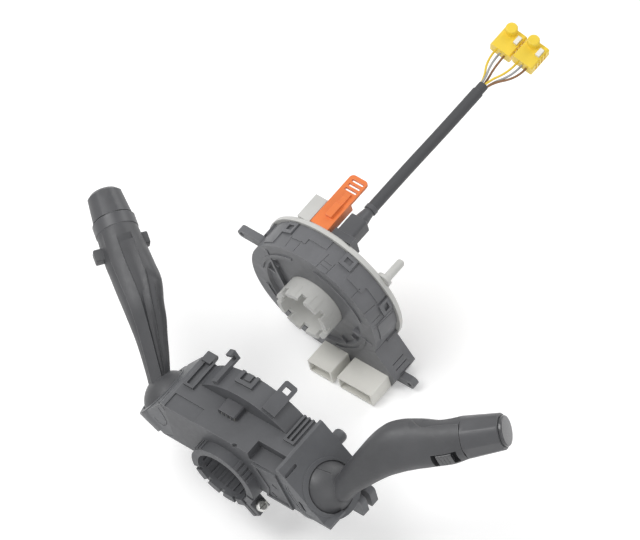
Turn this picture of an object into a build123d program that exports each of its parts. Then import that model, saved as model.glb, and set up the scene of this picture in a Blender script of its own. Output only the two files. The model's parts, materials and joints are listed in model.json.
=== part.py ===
from build123d import *
import os
from math import atan2, cos, degrees, radians, sin, sqrt, tan

# Combination stalk switch of a car: the switch unit on the steering column, with a turn and
# light stalk and a wiper stalk, and the clock spring that sits behind the steering wheel.
# Millimetres. +X is to the wiper stalk, +Y runs up the column to the driver, +Z is up.
# The origin is the middle of the column collar's front rim. The clock spring stands lifted
# off, as in the drawing, and slides back onto its seat.

# Column collar
collar_outer_radius = 24.4
collar_bore_radius = 19.4
collar_rib_height = 1.1
collar_rib_width = 1.4
collar_rib_count = 22
collar_rib_start = 4.5
collar_notch_count = 6
collar_notch_pitch = 30.0
collar_notch_width = 3.0
collar_notch_depth = 1.8
clamp_angle = 140.0
clamp_reach = 30.0
clamp_middle_y = 5.6
clamp_screw_radius = 2.0
clamp_head_radius = 4.2
clamp_head_height = 3.4
clamp_ear_thickness = 3.6
clamp_gap = 1.4

# Switch housing
deck_top = 36.0
housing_bottom = -3.0
housing_front = 7.5
housing_rear = 34.5
wall = 2.5
seat_outer_radius = 50.3
split_x = seat_outer_radius - 4.3
seat_rear = 49.0
strip_inner_x = split_x - 15
sunk_corner_x = 23.0
sunk_corner_depth = 6.5
sunk_rear = 18.8
sunk_left_depth = 1.0
socket_notch_left = -9.5
socket_notch_gap = 2.0
arm_clearance = 0.9
tongue_end = 58.0
hook_end = 56.5

# Lever modules and their end faces
end_top_x = split_x + 2.0
end_bottom_x = split_x + 32.6
case_rear = seat_rear + 3.0
socket_x = split_x + 23.0
socket_y = 28.0
socket_z = 9.0
crescent_height = 0.7
crescent_shift = 2.2
dome_radius = 19.0
dome_wall = 2.4
dome_gap = 0.35
dome_edge_angle = 74.0
pivot_depth = 9.6
barrel_wall = 1.7
gimbal_pocket_radius = 11.2

# Gimbal that carries each stalk
gimbal_half_depth = 5.4
gimbal_half_width = 9.0
gimbal_half_height = 5.6
fork_gap = 0.3
fork_thickness = 3.2
fork_half_width = 5.5
trunnion_radius = 3.0
trunnion_reach = 18.2
stalk_pin_radius = 1.9
running_gap = 0.05
plunger_radius = 1.6
plunger_length = 7.2
plunger_bore_depth = 4.5
plunger_offset = 6.0
plunger_gap = 0.3
spring_wire = 0.35

# Stalks, given for the wiper side and mirrored for the turn side
stalk_neck = (socket_x + 14.5, socket_y + 11.0, socket_z + 11.6)
stalk_bend = (socket_x + 35.0, socket_y + 30.8, socket_z + 31.8)
stalk_tip = (socket_x + 94.7, socket_y + 71.7, socket_z + 47.0)
wiper_knob_length = 27.0
end_button_radius = 9.9
end_button_travel = 1.5
end_button_length = 8.0
end_button_stand = 2.4
slider_travel = 3.0
slider_length = 10.0
slider_width = 9.6
slider_seat = 13.7
slider_back = 13.0
turn_knob_length = 19.5
turn_ring_length = 9.0
turn_extra_reach = 6.0
knob_radius = 13.6
knob_flat_share = 0.94
knob_end_radius = 11.0
part_line = 0.35
spigot_radius = 6.0
wiper_spigot_length = 9.0
turn_spigot_length = 17.0

# Circuit board and bottom covers
board_thickness = 1.6
board_z = 25.6
board_screw_radius = 1.5
board_screw_length = 4.4
cover_thickness = 2.0

# Clock spring, in its own place with the middle of its hub's front rim at zero
clock_rest = (-35.0, 123.1, 0.0)
drum_radius = 49.8
drum_front = 12.5
drum_rear = 33.0
drum_wall = 2.4
recess_radius = 37.5
recess_depth = 2.2
hub_radius = 20.3
hub_bore_radius = 16.8
hub_gap = 0.3
flange_radius = 52.5
flange_thickness = 3.9
flange_gap = 0.35
shroud_top = -42.5
shroud_bottom = -54.0
shroud_front = -5.4
shroud_wall = 1.2
shroud_spans = ((-0.8, 18.5), (23.7, 51.6))
shroud_pin_counts = (6, 9)
ear_left_z = 25.0
ear_right_z = -49.0
ear_reach = (drum_radius + 11.2, drum_radius + 17.2)
ear_width = 7.0
ear_front = 17.5
ear_rear = 22.5
ear_hole_radius = 1.7
peg_end = 55.0
peg_radius = 2.8
peg_place = (44.4, 27.5)
pawl_rear = 0.3 - hub_radius - 14.0
ribbon_thickness = 0.5
ribbon_turns = 4

# Pigtail and its two plugs, in the clock spring's own place
outlet_block_end = 57.0
tab_end = 80.0
cable_radius = 3.9
cable_route = ((12.5, 69.0, 44.4), (12.5, 102.0, 44.4), (13.3, 142.0, 44.0), (13.3, 175.0, 44.0))
band_wall = 0.55
band_end = 181.0
wire_radius = 0.75
wire_ring_radius = 1.9
wires_per_plug = 3
plug_rear = 206.0
plug_z = 44.2
wire_pitch = 3.4
plug_length = 18.0
plug_width = 15.6
plug_height = 8.5
plug_roll = 15.0
plug_middles = (6.6, 24.6)
plug_barrel_radius = 4.0
plug_barrel_height = 5.5
lock_travel = 1.5

os.makedirs("parts", exist_ok=True)


def box(x0, x1, y0, y1, z0, z1):
    """Block between two corners."""
    block = Box(x1 - x0, y1 - y0, z1 - z0, align=(Align.MIN, Align.MIN, Align.MIN))
    return Pos(x0, y0, z0) * block


def along(sketch, y0, y1):
    """Solid from a sketch in X and Z that runs from y0 to y1 along the column axis."""
    plane = Plane(origin=(0, y1, 0), x_dir=(1, 0, 0), z_dir=(0, -1, 0))
    return extrude(plane * sketch, y1 - y0)


def tube(outer, inner, y0, y1):
    """Ring about the column axis."""
    return along(Circle(outer) - Circle(inner), y0, y1)


def disc(radius, y0, y1, x=0.0, z=0.0):
    """Round piece whose axis is parallel to the column axis."""
    return along(Pos(x, z) * Circle(radius), y0, y1)


def polygon(points):
    """Flat face from its corners."""
    return make_face(Polyline(*points, close=True))


def spun(points):
    """Solid of revolution about the column axis from corners of radius and y."""
    return revolve(polygon([(radius, y) for radius, y in points]), Axis.Y)


def around(piece, angle):
    """Turn a piece about the column axis, from the top towards +X."""
    return Rot(0, angle, 0) * piece


def joined(pieces):
    """One shape from several."""
    whole = pieces[0]
    for piece in pieces[1:]:
        whole = whole + piece
    return whole


def grouped(pieces):
    """Separate solids kept together in one node."""
    return Compound(children=[solid for piece in pieces for solid in piece.solids()])


def square_to(point, direction):
    """Plane square to a direction, with its x level and its y upwards."""
    normal = Vector(*direction).normalized()
    level = Vector(0, 0, 1).cross(normal).normalized()
    return Plane(origin=point, x_dir=level, z_dir=normal)


def rounded(width, height, corner):
    """Rounded rectangle whose corner fits its size."""
    return RectangleRounded(width, height, min(corner, 0.49 * min(width, height)))


def coil(radius, length, turns, wire):
    """Helical spring about its own z axis, from zero upwards."""
    path = Helix(pitch=length / turns, height=length, radius=radius)
    start = Plane(origin=path @ 0, z_dir=path % 0)
    return sweep(start * RegularPolygon(wire, 6), path)


# The end face of a lever module, the pivot behind it and the line of the stalk
end_normal = Vector(deck_top - housing_bottom, 0, end_bottom_x - end_top_x).normalized()
face_middle = Vector(socket_x, socket_y, socket_z)
pivot = face_middle - end_normal * pivot_depth
socket = Plane(origin=pivot, x_dir=(0, 1, 0), z_dir=end_normal)
stalk_run = (Vector(*stalk_tip) - Vector(*stalk_bend)).normalized()


# Switch housing
def collar():
    """Collar that grips the column jacket, with a notched rim and ribs in its bore."""
    widened = collar_bore_radius + collar_rib_height
    ring = tube(collar_outer_radius, collar_bore_radius, 0, housing_rear)
    ring -= tube(widened, collar_bore_radius - 1, collar_rib_start, housing_rear - wall)
    half = collar_notch_width / 2
    notch = box(-half, half, -1, collar_notch_depth, collar_bore_radius - 1, collar_outer_radius + 1)
    for i in range(collar_notch_count):
        ring -= around(notch, 180 + collar_notch_pitch * (i - (collar_notch_count - 1) / 2))
    half = collar_rib_width / 2
    rear = housing_rear - wall / 2
    rib = box(-half, half, collar_rib_start - 1, rear, collar_bore_radius + 0.02, widened + 0.4)
    for i in range(collar_rib_count):
        ring += around(rib, 360 * i / collar_rib_count)
    ridge = box(-1.1, 1.1, 0.8, housing_front + 1, collar_outer_radius - 0.5, collar_outer_radius + 0.9)
    for angle in (-52, -43, -34, 36, 45, 54, 63):
        ring += around(ridge, angle)
    return ring


def clamp_ears():
    """Two ears at the lower right of the collar, drawn together by the clamp screw."""
    half_gap = clamp_gap / 2
    depth = collar_outer_radius - 1.5
    top = clamp_reach + clamp_head_radius
    one = box(half_gap, half_gap + clamp_ear_thickness, 0.6, 10.6, depth, top)
    ears = one + mirror(one, about=Plane.YZ)
    hole = Pos(0, clamp_middle_y, clamp_reach) * Rot(0, 90, 0) * Cylinder(clamp_screw_radius, 30)
    return around(ears - hole, clamp_angle)


def clamp_screw():
    """Pan-head screw through both ears."""
    reach = clamp_gap / 2 + clamp_ear_thickness
    shank = Pos(0, 0, 1) * Cylinder(clamp_screw_radius - 0.02, 2 * reach + 2)
    head = Pos(0, 0, -reach - clamp_head_height / 2) * Cylinder(clamp_head_radius, clamp_head_height)
    head = fillet(head.edges().sort_by(Axis.Z)[0], 1.6)
    slot = Pos(0, 0, -reach - clamp_head_height) * Box(1.1, 6.4, 2.4)
    screw = Rot(0, 90, 0) * (shank + head - slot)
    return around(Pos(0, clamp_middle_y, clamp_reach) * screw, clamp_angle)


def deck():
    """Box of the housing with its top deck, open below and hollow for the circuit board."""
    inner = split_x - wall
    ceiling = deck_top - sunk_corner_depth - wall + 1
    shell = box(-split_x, split_x, housing_front, housing_rear, housing_bottom, deck_top)
    shell -= box(-inner, inner, housing_front + wall, housing_rear - wall, housing_bottom - 1, ceiling)
    shell -= box(
        sunk_corner_x,
        split_x + 1,
        housing_front - 1,
        sunk_rear,
        deck_top - sunk_corner_depth,
        deck_top + 1,
    )
    shell -= box(
        -split_x + 1,
        -sunk_corner_x + 2,
        housing_front - 1,
        sunk_rear,
        deck_top - sunk_left_depth,
        deck_top + 1,
    )
    shell -= Pos(12.2, housing_front, deck_top) * Cylinder(1.9, 5)
    for x, y in board_screw_places():
        shell -= Pos(x, y, board_z) * Cylinder(board_screw_radius, 2 * board_screw_length)
    return shell


def side_strips():
    """Strips of the deck that run back beside the seat ring."""
    start = housing_rear - 0.5
    strip = box(strip_inner_x, split_x, start, seat_rear, deck_top - wall, deck_top)
    strip += box(split_x - wall, split_x, start, seat_rear, 14, deck_top)
    return strip + mirror(strip, about=Plane.YZ)


def seat():
    """Round dish at the driver's side that the clock spring seats on, with webs below."""
    inner = seat_outer_radius - wall
    floor = housing_rear - wall
    shroud_foot = -shroud_top - socket_notch_gap
    dish = spun(
        [
            (collar_bore_radius, floor),
            (seat_outer_radius, floor),
            (seat_outer_radius, seat_rear),
            (inner, seat_rear),
            (inner, housing_rear),
            (collar_bore_radius, housing_rear),
        ]
    )
    upright = Plane(origin=(0, 0, 0), x_dir=(0, 1, 0), z_dir=(1, 0, 0))
    foot = collar_outer_radius - 1
    web = polygon([(floor + 0.5, foot), (floor + 0.5, shroud_foot - 1), (12, foot)])
    web = extrude(upright * web, 0.9, both=True)
    for angle in (150, 180, 210):
        dish += around(web, angle)
    notch = box(socket_notch_left, 60, floor - 1, seat_rear + 1, -60, -shroud_foot)
    return dish - notch


def seat_tongue():
    """Spring tongue with a square eye that runs back over the clock spring's drum."""
    low = seat_outer_radius - 0.6
    plate = box(-4.9, 4.9, housing_rear - 1, tongue_end, low, seat_outer_radius + 2.7)
    plate = chamfer(plate.edges().filter_by(Axis.Z).group_by(Axis.Y)[-1], 1.2)
    plate -= box(-2.2, 2.2, 49.8, 54.6, low - 1, seat_outer_radius + 4)
    clear = disc(seat_outer_radius + arm_clearance, seat_rear, tongue_end + 1)
    return around(plate, 24.3) - clear


def cable_hook():
    """Hook arm on the left of the seat ring that holds the harness."""
    low = seat_outer_radius - 0.6
    top = seat_outer_radius + 8
    arm = box(-2.4, 2.4, housing_rear - 1, hook_end, low, seat_outer_radius + 2.7)
    arm += box(-2.4, 2.4, hook_end - 2.4, hook_end, low + 1, top)
    arm += box(-2.4, 2.4, hook_end - 5, hook_end, top - 1.8, top)
    clear = disc(seat_outer_radius + arm_clearance, seat_rear, hook_end + 1)
    return around(arm, -25.3) - clear


def seat_clip():
    """Raised U on top of the seat ring."""
    low = seat_outer_radius - 1
    clip = box(-7, 7, 39.5, 48.8, low, seat_outer_radius + 1.8)
    clip -= box(-4.6, 4.6, 42, 50, low - 1, seat_outer_radius + 3)
    clip += box(-2.2, 2.2, 43.5, 48.8, low, seat_outer_radius + 1.2)
    return around(clip, -3.5)


def deck_clips():
    """Ribbed clips, guides and a lug that stand on the side strips."""
    foot = deck_top - 0.5
    clips = [box(x - 0.7, x + 0.7, 28.5, seat_rear, foot, deck_top + 1.8) for x in (37.2, 40.6, 44)]
    clips += [box(36.5, 44.7, 27.2, 28.9, foot, deck_top + 1.8)]
    clips += [box(x - 0.8, x + 0.8, 27.5, seat_rear, foot, deck_top + 2) for x in (-43.6, -37.4)]
    clips += [box(-44.4, -36.6, 26.2, 27.8, foot, deck_top + 2)]
    lug = box(-split_x + 0.4, -split_x + 7.6, seat_rear - 3, seat_rear + 5, deck_top - 1, deck_top + 3.4)
    clips += [fillet(lug.edges().filter_by(Axis.X).group_by(Axis.Y)[-1], 1.6)]
    return joined(clips)


def front_panel():
    """Raised panel low on the front right, with its sunk field and two slots."""
    low = housing_bottom + 0.2
    rim = [(24.9, 27.5), (44.5, 29.0), (split_x + 6.6, low), (31.0, low), (33.5, 7.5)]
    field = [(28.2, 25.7), (43.2, 26.9), (split_x + 4.6, low + 1.8), (33.2, low + 1.8), (35.4, 8.0)]
    front = housing_front - 1.4
    plate = along(polygon(rim), front, housing_front + 1)
    plate -= along(polygon(field), front - 1, front + 0.8)
    for x, z in ((40.4, 13.1), (38.0, 2.4)):
        plate -= along(Pos(x, z) * Rot(0, 0, -35) * SlotOverall(4.6, 2.0), front, housing_front - 0.1)
    return plate - box(split_x - 0.1, 80, housing_front - 0.1, 20, -10, 40)


def switch_body():
    """Main moulding: collar, deck, seat ring and their clips."""
    bore = disc(collar_bore_radius + collar_rib_height, housing_front, housing_rear)
    slot = box(
        -clamp_gap / 2,
        clamp_gap / 2,
        -1,
        22,
        collar_bore_radius - 2,
        clamp_reach + 6,
    )
    body = deck() - bore + side_strips() + seat() + collar() + clamp_ears()
    body -= around(slot, clamp_angle)
    body -= disc(seat_outer_radius - wall, housing_rear, seat_rear + 1)
    extras = joined([seat_tongue(), cable_hook(), seat_clip(), deck_clips(), front_panel()])
    return body + extras - disc(seat_outer_radius - wall, housing_rear, seat_rear + 0.5)


def bottom_cover(side):
    """Plate that closes the housing below, beside the collar."""
    inner = split_x - wall - 0.1
    start = sqrt(collar_outer_radius**2 - housing_bottom**2) + 0.6
    front = housing_front + wall + 0.1
    rear = housing_rear - wall - 0.1
    plate = box(start, inner, front, rear, housing_bottom, housing_bottom + cover_thickness)
    plate += box(start, inner, front, front + 1.4, housing_bottom, housing_bottom + 6)
    plate += box(start, inner, rear - 1.4, rear, housing_bottom, housing_bottom + 6)
    return plate if side > 0 else mirror(plate, about=Plane.YZ)


def board_screw_places():
    """Places of the screws that hold the circuit board."""
    middle = (housing_front + housing_rear) / 2
    return [(-36, middle), (36, middle)]


def circuit_board():
    """Printed board under the deck, with two holes for its dowels."""
    half = split_x - wall - 0.4
    front = housing_front + wall + 0.3
    rear = housing_rear - wall - 0.3
    board = box(-half, half, front, rear, board_z, board_z + board_thickness)
    for x, y in board_screw_places():
        board -= Pos(x, y, board_z) * Cylinder(board_screw_radius + 0.1, 8)
    return board


def board_screws():
    """Screws that hold the board up against the deck."""
    upright = (Align.CENTER, Align.CENTER, Align.MIN)
    screw = Cylinder(board_screw_radius - 0.02, board_screw_length - 0.1, align=upright)
    screw += Pos(0, 0, -1.6) * Cylinder(2.8, 1.6, align=upright)
    return grouped([Pos(x, y, board_z) * screw for x, y in board_screw_places()])


def deck_connector():
    """Four-way connector on the deck with its row of teeth at the front."""
    rear = housing_rear - wall
    block = box(-12.2, 1.6, rear - 10.3, rear, deck_top, deck_top + 4.2)
    block = chamfer(block.edges().filter_by(Axis.Y).group_by(Axis.Z)[-1], 0.8)
    gap = 13.8 / 8
    for i in range(4):
        x = -12.2 + gap * (2 * i + 1)
        block -= box(x, x + gap, rear - 12, rear - 8.9, deck_top - 1, deck_top + 3)
    return block


def connector_pins():
    """Contacts in the gaps between the connector's teeth."""
    rear = housing_rear - wall
    pins = []
    for i in range(4):
        x = -12.2 + 13.8 * (2 * i + 1.5) / 8
        pins.append(box(x - 0.4, x + 0.4, rear - 10, rear - 8.9, deck_top, deck_top + 3))
    return grouped(pins)


# Lever modules
def lever_case(right):
    """Case of one lever module, with a sloped end face and a round socket for the dome."""
    outline = [(split_x, housing_bottom)]
    if right:
        outline += [(end_bottom_x, housing_bottom)]
    else:
        outline += [(split_x + 9, housing_bottom), (split_x + 16.5, 5.0), (split_x + 18, slope_z(18))]
    outline += [(end_top_x, deck_top), (split_x, deck_top)]
    rear = case_rear if right else seat_rear
    case = along(polygon(outline), housing_front, rear)
    case += socket.location * (barrel() + crescent())
    case -= disc(seat_outer_radius + 0.05, housing_rear - wall, rear + 1)
    case -= box(-10, split_x, -10, 80, -60, 60)
    case -= socket.location * socket_hollow()
    slot = Plane(origin=(split_x + 6, 14, slope_z(6)), x_dir=(0, 1, 0), z_dir=end_normal)
    case -= extrude(slot * SlotOverall(11.5, 2.6), 1.6, both=True)
    if right:
        case += rear_peg() + shroud_lug() + bottom_flange()
        case -= front_grooves()
    return case


def slope_z(out):
    """Height of the sloped end face at a distance out from the split."""
    share = (split_x + out - end_top_x) / (end_bottom_x - end_top_x)
    return deck_top - share * (deck_top - housing_bottom)


def barrel():
    """Round wall of the socket, about the pivot."""
    radius = dome_radius + dome_gap + barrel_wall
    base = (Align.CENTER, Align.CENTER, Align.MIN)
    return Pos(0, 0, -6) * Cylinder(radius, pivot_depth + 6, align=base)


def crescent():
    """Raised crescent at the upper front edge of the socket."""
    base = (Align.CENTER, Align.CENTER, Align.MIN)
    radius = dome_radius + dome_gap
    opening = sqrt(radius**2 - pivot_depth**2) + 0.35
    ring = Pos(-0.7 * crescent_shift, 0.7 * crescent_shift) * Cylinder(
        opening + 1.6, pivot_depth + crescent_height, align=base
    )
    return ring - Pos(0, 0, -1) * Cylinder(opening, 30, align=base)


def socket_hollow():
    """Room in a lever case for the dome, the gimbal and its trunnions."""
    radius = dome_radius + dome_gap
    size = 4 * radius
    hollow = Sphere(radius) - Pos(0, 0, -size / 2) * Box(size, size, size)
    pocket = Rot(0, 90, 0) * Cylinder(gimbal_pocket_radius, 2 * (gimbal_half_width + 4))
    holes = Rot(0, 90, 0) * Cylinder(trunnion_radius + running_gap, 2 * trunnion_reach + 0.6)
    return hollow + pocket + holes


def rear_peg():
    """Round peg with a flat below that stands out of the rear of the wiper module."""
    x, z = split_x + 8, 18
    peg = disc(4.6, case_rear - 1, case_rear + 8, x=x, z=z)
    peg = fillet(peg.edges().sort_by(Axis.Y)[-1], 2.4)
    return peg - box(x - 10, x + 10, case_rear + 2, case_rear + 20, z - 9, z - 3.2)


def shroud_lug():
    """Lug with a cross hole low at the rear of the wiper module, for the column shroud."""
    x0, x1 = socket_x - 6, socket_x + 14.5
    lug = box(x0, x1, seat_rear - 14, seat_rear, -22, -6)
    lug = fillet(lug.edges().filter_by(Axis.Y).sort_by(Axis.X)[-2:], 3)
    lug -= box(x0 + 5, x1 + 5, seat_rear - 9, seat_rear - 5.4, -30, 0)
    lug += box(x0 - 3, x0 + 5, seat_rear - 14, seat_rear, -14, -2)
    socket_space = socket.location * Sphere(dome_radius + dome_gap + 0.4)
    return lug - socket_space


def bottom_flange():
    """Thin flange under the corner of the wiper module."""
    low = housing_bottom
    flange = box(end_bottom_x - 6, end_bottom_x + 3.4, housing_front, housing_front + 15, low, low + 2.2)
    socket_space = socket.location * Sphere(dome_radius + dome_gap + 0.4)
    return flange - socket_space


def front_grooves():
    """Curved grooves and a slot on the front of the wiper module."""
    x, z = split_x + 39, 25
    y0, y1 = housing_front - 1, housing_front + 0.9
    keep = Pos(split_x + 16, 10) * Rectangle(23, 24)
    grooves = along((Pos(x, z) * (Circle(35.2) - Circle(34.4))) & keep, y0, y1)
    grooves += along((Pos(x, z) * (Circle(33.0) - Circle(32.4))) & keep, y0, y1)
    slot = Pos(split_x + 15.4, 7.0) * Rot(0, 0, -55) * SlotOverall(8, 2.6)
    return grooves + along(slot, y0, y1 + 1.2)


def gimbal():
    """Block that rocks up and down on its trunnions and carries the stalk's pin."""
    block = Box(2 * gimbal_half_width, 2 * gimbal_half_height, 2 * gimbal_half_depth)
    block = chamfer(block.edges().filter_by(Axis.X), 1.2)
    block += Rot(0, 90, 0) * Cylinder(trunnion_radius, 2 * trunnion_reach)
    block -= Rot(90, 0, 0) * Cylinder(stalk_pin_radius + running_gap, 40)
    rear = Pos(plunger_offset, 0, -gimbal_half_depth)
    block -= rear * Cylinder(plunger_radius + running_gap, 2 * plunger_bore_depth)
    return socket.location * block


def plunger():
    """Detent plunger that presses on the wall of the pocket."""
    tip = -(gimbal_pocket_radius - plunger_gap)
    pin = Cylinder(plunger_radius, plunger_length, align=(Align.CENTER, Align.CENTER, Align.MIN))
    pin = fillet(pin.edges().sort_by(Axis.Z)[0], 1.2)
    return socket.location * (Pos(plunger_offset, 0, tip) * pin)


def plunger_spring():
    """Spring behind the detent plunger, in its bore."""
    bottom = -(gimbal_pocket_radius - plunger_gap) + plunger_length
    top = -gimbal_half_depth + plunger_bore_depth
    radius = plunger_radius - spring_wire - 0.1
    length = top - bottom - 2 * spring_wire - 0.1
    spring = Pos(plunger_offset, 0, bottom + spring_wire + 0.05) * coil(radius, length, 3, spring_wire)
    return socket.location * spring


def stalk_pin():
    """Pin on which the stalk rocks to and from the driver."""
    reach = gimbal_half_height + fork_gap + fork_thickness
    return socket.location * (Rot(90, 0, 0) * Cylinder(stalk_pin_radius, 2 * reach - 0.4))


def fork_and_dome():
    """Dome that closes the socket, with the fork inside that holds the pin."""
    keep = dome_radius * cos(radians(dome_edge_angle))
    dome = Sphere(dome_radius) - Sphere(dome_radius - dome_wall)
    dome -= Pos(0, 0, keep - 50) * Box(100, 100, 100)
    inner = gimbal_half_height + fork_gap
    arm = Box(2 * fork_half_width, fork_thickness, 5 + dome_radius - dome_wall / 2)
    arm = Pos(0, inner + fork_thickness / 2, (dome_radius - dome_wall / 2 - 5) / 2) * arm
    arm &= Sphere(dome_radius - 0.5)
    fork = arm + mirror(arm, about=Plane.XZ)
    fork -= Rot(90, 0, 0) * Cylinder(stalk_pin_radius + 0.02, 40)
    return socket.location * (dome + fork)


def stalk_shell(cut):
    """Stalk from the dome to its knob: a slim neck that swells and bends outwards."""
    tip = Vector(*stalk_tip)
    bend = Vector(*stalk_bend)
    neck = Vector(*stalk_neck)
    first = (neck - pivot).normalized()
    end = tip - stalk_run * cut
    length = (end - bend).length
    stations = [
        (pivot + first * (dome_radius - 3), first, 15.5, 18, 6),
        (neck, bend - pivot, 16.5, 19, 6.5),
        ((neck + bend) * 0.5 + Vector(0, 0, 0.6), bend - neck, 22, 24, 7.5),
        (bend, (bend - neck).normalized() + stalk_run, 28, 27.5, 9),
        (bend + stalk_run * length * 0.42 + Vector(0, 0, 0.4), stalk_run, 28.6, 27.4, 10.5),
        (end, stalk_run, 2 * knob_radius, 2 * knob_radius, knob_radius),
    ]
    sections = [square_to(p, d) * rounded(w, h, r) for p, d, w, h, r in stations]
    return loft(sections)


def stalk_end(distance):
    """Plane across the stalk at a distance back from the tip."""
    return square_to(Vector(*stalk_tip) - stalk_run * distance, stalk_run)


def wiper_stalk():
    """Wiper stalk in one piece with its dome and fork, and a spigot for the knob."""
    cut = wiper_knob_length + part_line
    body = stalk_shell(cut) - socket.location * Sphere(dome_radius - 0.6)
    body += fork_and_dome()
    room = Box(slider_width + 0.4, 5, slider_length + 2 * slider_travel + 0.4)
    body -= slider_place() * (Pos(0, -slider_seat, 0) * room)
    return body + extrude(stalk_end(cut) * Circle(spigot_radius), wiper_spigot_length)


def slider_place():
    """Where the interval slider sits: on the stalk's front side, ahead of the knob."""
    return stalk_end(wiper_knob_length + slider_back).location * Rot(0, 0, -90)


def turn_stalk():
    """Turn stalk, built on the wiper side, with two side tabs below the ring."""
    cut = turn_knob_length + turn_ring_length - turn_extra_reach + 2 * part_line
    body = stalk_shell(cut) - socket.location * Sphere(dome_radius - 0.6)
    body += fork_and_dome()
    body += extrude(stalk_end(cut) * Circle(spigot_radius), turn_spigot_length)
    tabs = extrude(stalk_end(cut + 12) * rounded(38.5, 6.4, 1.5), 6)
    tabs -= extrude(stalk_end(cut + 13) * Pos(0, -10) * Rectangle(60, 14), 9)
    return body + tabs


def knob_form(length, end_radius, corner):
    """Tapered knob about z, round at its corners and with four flat faces along it."""
    outline = [(0, 0), (knob_radius, 0), (end_radius, length - corner), (end_radius - corner, length), (0, length)]
    form = revolve(Plane.XZ * polygon(outline), Axis.Z)
    size = 2 * knob_flat_share
    base = Rectangle(size * knob_radius, size * knob_radius)
    end = Pos(0, 0, length) * Rectangle(size * end_radius, size * end_radius)
    return form & loft([base, end])


def wiper_knob():
    """Turning knob at the end of the wiper stalk, bored for the washer button."""
    length = wiper_knob_length - end_button_stand
    knob = knob_form(length, knob_end_radius + 0.8, 0.6)
    knob -= Cylinder(spigot_radius + running_gap, 2 * wiper_spigot_length + 0.4)
    bore_depth = end_button_length - end_button_stand + end_button_travel + 0.1
    knob -= Pos(0, 0, length) * Cylinder(end_button_radius + 0.1, 2 * bore_depth)
    return stalk_end(wiper_knob_length).location * knob


def wiper_slider():
    """Thumb slider in the stalk's side."""
    block = Pos(0, -slider_seat + 0.2, 0) * Box(slider_width, 4.2, slider_length)
    block = fillet(block.edges().filter_by(Axis.Z), 0.9)
    for z in (-2.4, 0, 2.4):
        block -= Pos(0, -slider_seat - 2.0, z) * Box(slider_width + 1, 0.8, 1.0)
    return slider_place() * block


def end_button():
    """Push button in the end of the wiper knob."""
    centred = (Align.CENTER, Align.CENTER, Align.MAX)
    button = Cylinder(end_button_radius, end_button_length, align=centred)
    button = fillet(button.edges().sort_by(Axis.Z)[-1], 0.8)
    return stalk_end(0).location * button


def turn_ring():
    """Fog lamp ring between the turn stalk and its knob."""
    ring = Cylinder(
        knob_radius + 0.5, turn_ring_length, align=(Align.CENTER, Align.CENTER, Align.MIN)
    )
    ring = chamfer(ring.edges(), 0.6)
    ring -= Cylinder(spigot_radius + running_gap, 60)
    start = stalk_end(turn_knob_length + turn_ring_length - turn_extra_reach + part_line)
    return start.location * ring


def turn_knob():
    """Light knob at the end of the turn stalk."""
    knob = knob_form(turn_knob_length, knob_end_radius + 0.6, 2.2)
    knob -= Cylinder(spigot_radius + running_gap, 16.6)
    return stalk_end(turn_knob_length - turn_extra_reach).location * knob


# Cancelling pawl in the dish
def cancel_pawl():
    """Pawl that the clock spring's hub trips to bring the turn stalk back."""
    foot = housing_rear + 0.1
    tip = -hub_radius - 2.7
    pawl = box(pawl_rear, tip, foot, foot + 2, -2.5, 2.5)
    pawl += box(tip - 4, tip, foot, foot + 6.4, -2.5, 2.5)
    pawl = chamfer(pawl.edges().filter_by(Axis.Y).group_by(Axis.X)[-1], 1.8)
    return pawl + box(pawl_rear, pawl_rear + 3, foot, foot + 2, -5, 5)


def pawl_guides():
    """Two rails on the dish floor that guide the pawl."""
    rear = pawl_rear + 5
    rail = box(rear, rear + 4.4, housing_rear - 0.01, housing_rear + 2.2, 2.6, 4.2)
    return rail + mirror(rail, about=Plane.XY)


def pawl_spring():
    """Spring between the pawl and the seat wall."""
    reach = seat_outer_radius - wall + pawl_rear
    spring = coil(0.8, reach - 0.9, 6, 0.22)
    return Pos(pawl_rear - 0.3, housing_rear + 1.2, 0) * Rot(0, -90, 0) * spring


# Clock spring
def stator():
    """Drum of the clock spring: an outer wall and a stepped front, open to the driver."""
    rim = drum_front + drum_wall
    floor = drum_front + recess_depth
    bore = hub_radius + hub_gap
    drum = spun(
        [
            (bore, floor),
            (recess_radius - 1.5, floor),
            (recess_radius, drum_front),
            (drum_radius, drum_front),
            (drum_radius, drum_rear),
            (drum_radius - drum_wall, drum_rear),
            (drum_radius - drum_wall, rim),
            (recess_radius + 2, rim),
            (recess_radius, floor + drum_wall),
            (bore + 2, floor + drum_wall),
            (bore, floor + 3),
        ]
    )
    seat_ring = tube(recess_radius + 4.5, recess_radius + 2.5, drum_front - 0.8, drum_front + 1)
    arcs = seat_ring - box(-60, 60, 0, 40, -9, 9) - box(-9, 9, 0, 40, -60, 60)
    drum += arcs + recess_bars()
    for angle in (30, 75, 118, 200, 245, 300, 335):
        latch = box(-4.5, 4.5, drum_rear - 9, drum_rear, drum_radius - 1, drum_radius + 1.6)
        latch -= box(-2.6, 2.6, drum_rear - 6.5, drum_rear - 2.5, drum_radius, drum_radius + 3)
        drum += around(latch, angle)
    for first, last, y0 in ((-44, -31, 15), (-19, -4, 22), (-4, 12, 26), (37, 52, 20), (52, 68, 25), (82, 100, 17)):
        drum += side_panel(first, last, y0)
    drum += socket_base() + stator_ears()
    return drum - disc(drum_radius - drum_wall, rim + 3, drum_rear + 1)


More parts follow.
